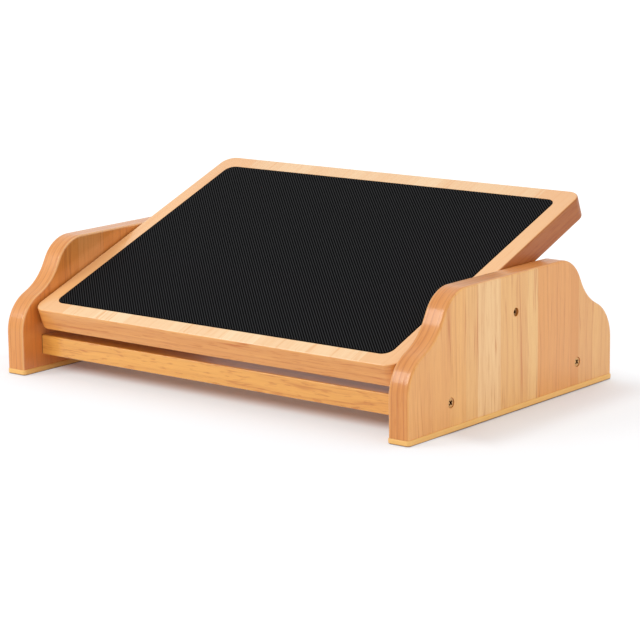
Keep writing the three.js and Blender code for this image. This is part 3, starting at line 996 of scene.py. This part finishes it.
# %% Base strips
strip_plan = rectangle(panel_thick + 2 * strip_proud[0], panel_depth + 2 * strip_proud[1],
                       strip_corner)
for side, x_side in both_sides:
    strip = as_object(f"{side}_base_strip_smooth", slab(strip_plan, strip_height, strip_ease),
                      at(x_side * (inner_face + panel_thick / 2), 0, 0))
    fit_piece(strip, "frame", base_rubber, "base_rubber", f"{side}_base_strip")

# %% Crossbars
bar_section = rectangle(bar_depth, bar_thick, bar_ease[0])
for end, y in bar_places.items():
    slat = moved(slab(bar_section, clear_width, bar_ease[1], steps=2), standing)
    bar = as_object(f"{end}_crossbar_smooth", slat, at(-inner_face, y, bar_height))
    fit_piece(bar, "frame", bar_wood, "bar_wood", f"{end}_crossbar")

# %% [markdown]
# ## Platform board
#
# The board is a slab in the platform's own frame, so its finish can tell its top from its
# edges although it rests tilted. A shallow recess with rounded corners takes the mat.

# %% Board
board_place = platform_place @ at(0, board_back, pivot_drop)
board_plan = rectangle(board_width, board_length, board_corner)
board = as_object("platform_board_smooth", slab(board_plan, board_thick, board_ease, steps=7),
                  board_place)
recess_plan = rectangle(board_width - 2 * mat_border, board_length - 2 * mat_border,
                        mat_corner + fit)
recess = slab(recess_plan, recess_depth + overrun, 0)
carve(board, [moved(recess, at(0, -mat_forward, board_thick - recess_depth))])
fit_piece(board, "platform", board_wood, "board_wood", "platform_board")

# %% [markdown]
# ## Foot mat
#
# The mat has straight, rounded ribs that run diagonally from the right front to the left back,
# about two millimetres apart. A bump map would do from far away, but the ribs catch the light
# differently as the view turns, so they are modelled: one corrugated sheet of long, narrow
# faces, trimmed to the mat's outline by a plane for each side and for each step of its
# rounded corners. A skirt closes the sheet down to the mat's body.

# %% Ribs
rib_pitch = 2.1 * mm
rib_height = 0.55 * mm
rib_steps = 8  # faces across one rib
rib_power = 0.7  # under 1, it rounds the tops and sharpens the valleys
rib_inset = 0.5 * mm  # from the mat's edge
rib_sink = 0.001 * mm  # of the valleys into the mat's body
skirt_depth = 0.2 * mm
mat_body_thick = mat_thick - rib_height
mat_plan = (board_width - 2 * (mat_border + fit), board_length - 2 * (mat_border + fit))
print("the mat has about", round(sum(mat_plan) / math.sqrt(2) / rib_pitch), "ribs")


def rib_sheet(width, length, radius, base):
    """Diagonal ribs over a rounded rectangle, their valleys at height base."""
    reach = (width + length) / 2 / math.sqrt(2) + rib_pitch
    steps = round(2 * reach / (rib_pitch / rib_steps))
    across = Vector((1, 1, 0)).normalized()
    along = Vector((-1, 1, 0)).normalized()
    work = bmesh.new()
    lines = []
    for k in range(steps + 1):
        s = -reach + 2 * reach * k / steps
        wave = 0.5 + 0.5 * math.cos(2 * math.pi * s / rib_pitch)
        height = Vector((0, 0, base + rib_height * wave ** rib_power))
        lines.append([work.verts.new(across * s + along * t + height) for t in (-reach, reach)])
    for a, b in zip(lines, lines[1:]):
        work.faces.new((a[0], b[0], b[1], a[1]))
    bmesh.ops.recalc_face_normals(work, faces=work.faces)
    for point, outward in outline_planes(rectangle(width, length, radius)):
        trim(work, point, outward)
    return work


def outline_planes(plan):
    """A plane through each side of a convex outline, facing outwards."""
    for a, b in zip(plan, np.roll(plan, -1, axis=0)):
        along = b - a
        yield (a[0], a[1], 0), (along[1], -along[0], 0)


def add_skirt(work, foot):
    """Closes the sheet's open border down to a height."""
    border = [e for e in work.edges if e.is_boundary]
    made = bmesh.ops.extrude_edge_only(work, edges=border)["geom"]
    for item in made:
        if isinstance(item, bmesh.types.BMVert):
            item.co.z = foot
    bmesh.ops.recalc_face_normals(work, faces=work.faces)


# %% Mat
mat_place = platform_place @ at(0, board_back - mat_forward, board_top - recess_depth + fit)
mat_body = slab(rectangle(*mat_plan, mat_corner), mat_body_thick, mat_ease, steps=3)
ribs = rib_sheet(mat_plan[0] - 2 * rib_inset, mat_plan[1] - 2 * rib_inset,
                 mat_corner - rib_inset, mat_body_thick - rib_sink)
add_skirt(ribs, mat_body_thick - skirt_depth)
ribs.from_mesh(as_mesh("mat_body", mat_body))
mat = as_object("foot_mat_ribbed", ribs, mat_place)
fit_piece(mat, "platform", mat_rubber, "mat_rubber", "foot_mat")

# %% [markdown]
# ## Pivot blocks
#
# Under each side of the board sits a block that takes the pivot bolt. Its lower corners are
# well rounded, and two countersunk screws go up through it into the board. They can be seen
# from below only, but they are made like the others.

# %% Blocks and their screws
block_top = pivot_drop - fit
block_bottom = block_top - block_height
block_middle = block_face - block_width / 2
half = block_length / 2
low_corner, high_corner = block_corners
block_outline = rounded([(-half, block_bottom, low_corner), (half, block_bottom, low_corner),
                         (half, block_top, high_corner), (-half, block_top, high_corner)])
head_height = block_bottom + screw_sink
upwards = Matrix.Rotation(math.radians(90), 4, "Y")


def block_hole(y):
    """A screw's hole in the right block, open downwards."""
    hole = moved(countersink(*block_screw_size[:2]), upwards)
    return moved(hole, at(block_middle, y, head_height))


for side, x_side in both_sides:
    work = moved(slab(block_outline, block_width, block_ease), standing)
    block = as_object(f"{side}_pivot_block_smooth", on_side(work, x_side, block_face - block_width),
                      platform_place)
    carve(block, [on_side(block_hole(y), x_side) for y in block_screw_places])
    fit_piece(block, "platform", block_wood, "block_wood", f"{side}_pivot_block")
    for number, y in enumerate(block_screw_places, 1):
        place = platform_place @ at(x_side * block_middle, y, head_height)
        fixing = as_object(f"{side}_block_screw_head_{number}",
                           moved(screw_work(*block_screw_size, sides=32), upwards), place)
        carve(fixing, [moved(wedge, upwards) for wedge in cross_cutters(block_screw_size[0])])
        fit_piece(fixing, "platform", block_screw_metal, "screw_metal",
                  f"{side}_block_screw_{number}")

# %% [markdown]
# ## Pieces inside the wood
#
# The dowels and the threaded inserts can't be seen at all, and their CAD solids stay. They
# still get their finishes, for whoever takes the model apart.

# %% Finishes for the hidden pieces
for word, finish in (("dowel", dowel_wood), ("insert", insert_metal)):
    hidden = [name for name in nodes if word in name]
    for name in hidden:
        nodes[name].data.materials.clear()
        nodes[name].data.materials.append(finish)
    print(finish.name, "goes on", hidden)

# %% [markdown]
# ## Floor and light
#
# A catalogue picture has a white floor that runs into a white background, with only the
# object's soft shadow on it. The floor here is a plain pale one. To the camera it glows as
# well: hardly at all under the object, where the glow is as warm as light that comes off
# wood, a little around it, and enough to reach white further away. The floor's light on the
# object stays that of a pale floor, and mirror-like reflections see the same glow. From below
# the floor is clear, so that the underside can be looked at as well.

# %% The floor's finish
# Each fade starts at its first distance from the middle and is complete at its second.
fade_in_front = (-84 * mm, -120 * mm)
fade_beside = (255 * mm, 297 * mm)
fade_behind = (110 * mm, 200 * mm)
fade_far = (350 * mm, 800 * mm)
warm_beside = (200 * mm, 240 * mm)
warm_behind = (20 * mm, 80 * mm)

floor_finish = Finish("floor_paint")
path = floor_finish.node("ShaderNodeLightPath", {}, {}).socket.node
seen = [Wire(floor_finish, path.outputs[f"Is {kind} Ray"])
        for kind in ("Camera", "Glossy", "Transmission")]
seen_share = floor_finish.node("ShaderNodeMath", {"operation": "ADD", "use_clamp": True},
                               {0: seen[0] + seen[1], 1: seen[2]})
paint = floor_finish.node("ShaderNodeBsdfPrincipled", {},
                          {"Base Color": tone(243, 245, 249), "Roughness": 0.9,
                           "Specular IOR Level": 0.1})
x, y, _ = floor_finish.parts(floor_finish.place())
away = (x * x + y * y) ** 0.5
in_front = floor_finish.smooth(y, *fade_in_front)
beside = floor_finish.smooth(abs(x), *fade_beside)
in_open = floor_finish.node("ShaderNodeMath", {"operation": "MAXIMUM"}, {0: in_front, 1: beside})
glow_share = seen_share * (0.05 + in_open * 0.32 + floor_finish.smooth(away, *fade_far) * 0.6
                           + floor_finish.smooth(y, *fade_behind) * 0.6)
under_it = ((1 - in_front) * (1 - floor_finish.smooth(abs(x), *warm_beside))
            * (1 - floor_finish.smooth(y, *warm_behind)))
glow_colour = floor_finish.mix(under_it, (1, 1, 1, 1), tone(255, 208, 200))
glow = floor_finish.node("ShaderNodeEmission", {}, {"Color": glow_colour, "Strength": 1.15})
both = floor_finish.node("ShaderNodeMixShader", {}, {0: glow_share, 1: paint, 2: glow})
from_below = floor_finish.node("ShaderNodeNewGeometry", {}, {}, out=6)
clear = floor_finish.node("ShaderNodeBsdfTransparent", {}, {})
top_only = floor_finish.node("ShaderNodeMixShader", {}, {0: from_below, 1: both, 2: clear})
floor_finish.tree.links.new(top_only.socket, floor_finish.output.inputs[0])
print("the floor's finish has", len(floor_finish.tree.nodes), "nodes")

# %% The floor itself
floor_reach = 12  # metres
floor_drop = 0.2 * mm
floor_work = bmesh.new()
bmesh.ops.create_grid(floor_work, x_segments=1, y_segments=1, size=floor_reach)
floor = as_object("studio_floor", floor_work, at(0, 0, -floor_drop))
floor.data.materials.append(floor_finish.material)
print("the floor reaches", floor_reach, "metres each way")

# %% [markdown]
# The light is plain and soft. The world gives most of it: it is white to the camera, and a
# pale grey to everything that it lights. A softbox at the front left puts the whitish gloss on
# the rounded shoulders, and a weak wide panel overhead brightens what lies flat.

# %% World and lamps
def softbox(name, where, size, power):
    """A square area lamp that looks at the object, in metres and watts."""
    data = bpy.data.lights.new(name, "AREA")
    data.shape = "SQUARE"
    data.size = size
    data.energy = power
    lamp = bpy.data.objects.new(name, data)
    aim = (aim_point - Vector(where)).to_track_quat("-Z", "Y")
    lamp.matrix_world = Matrix.Translation(where) @ aim.to_matrix().to_4x4()
    bpy.context.scene.collection.objects.link(lamp)


softbox("overhead_light", (0.1, 0.3, 2.0), 1.6, 5)
softbox("front_left_light", (-1.2, -1.5, 1.2), 0.9, 12)

world = bpy.data.worlds.new("studio_world")
world.use_nodes = True
bpy.context.scene.world = world
tree = world.node_tree
tree.nodes.clear()
light_path = tree.nodes.new("ShaderNodeLightPath")
choose = tree.nodes.new("ShaderNodeMixShader")
world_output = tree.nodes.new("ShaderNodeOutputWorld")
tree.links.new(light_path.outputs["Is Camera Ray"], choose.inputs[0])
fill_strength, seen_strength = 0.86, 1
for socket, strength in ((1, fill_strength), (2, seen_strength)):
    background = tree.nodes.new("ShaderNodeBackground")
    background.inputs["Color"].default_value = (1, 1, 1, 1)
    background.inputs["Strength"].default_value = strength
    tree.links.new(background.outputs[0], choose.inputs[socket])
tree.links.new(choose.outputs[0], world_output.inputs[0])

# %% [markdown]
# ## Closing
#
# Colours are shown as they are, without a film look.

# %% Colour handling
bpy.context.scene.view_settings.view_transform = "Standard"
bpy.context.view_layer.update()
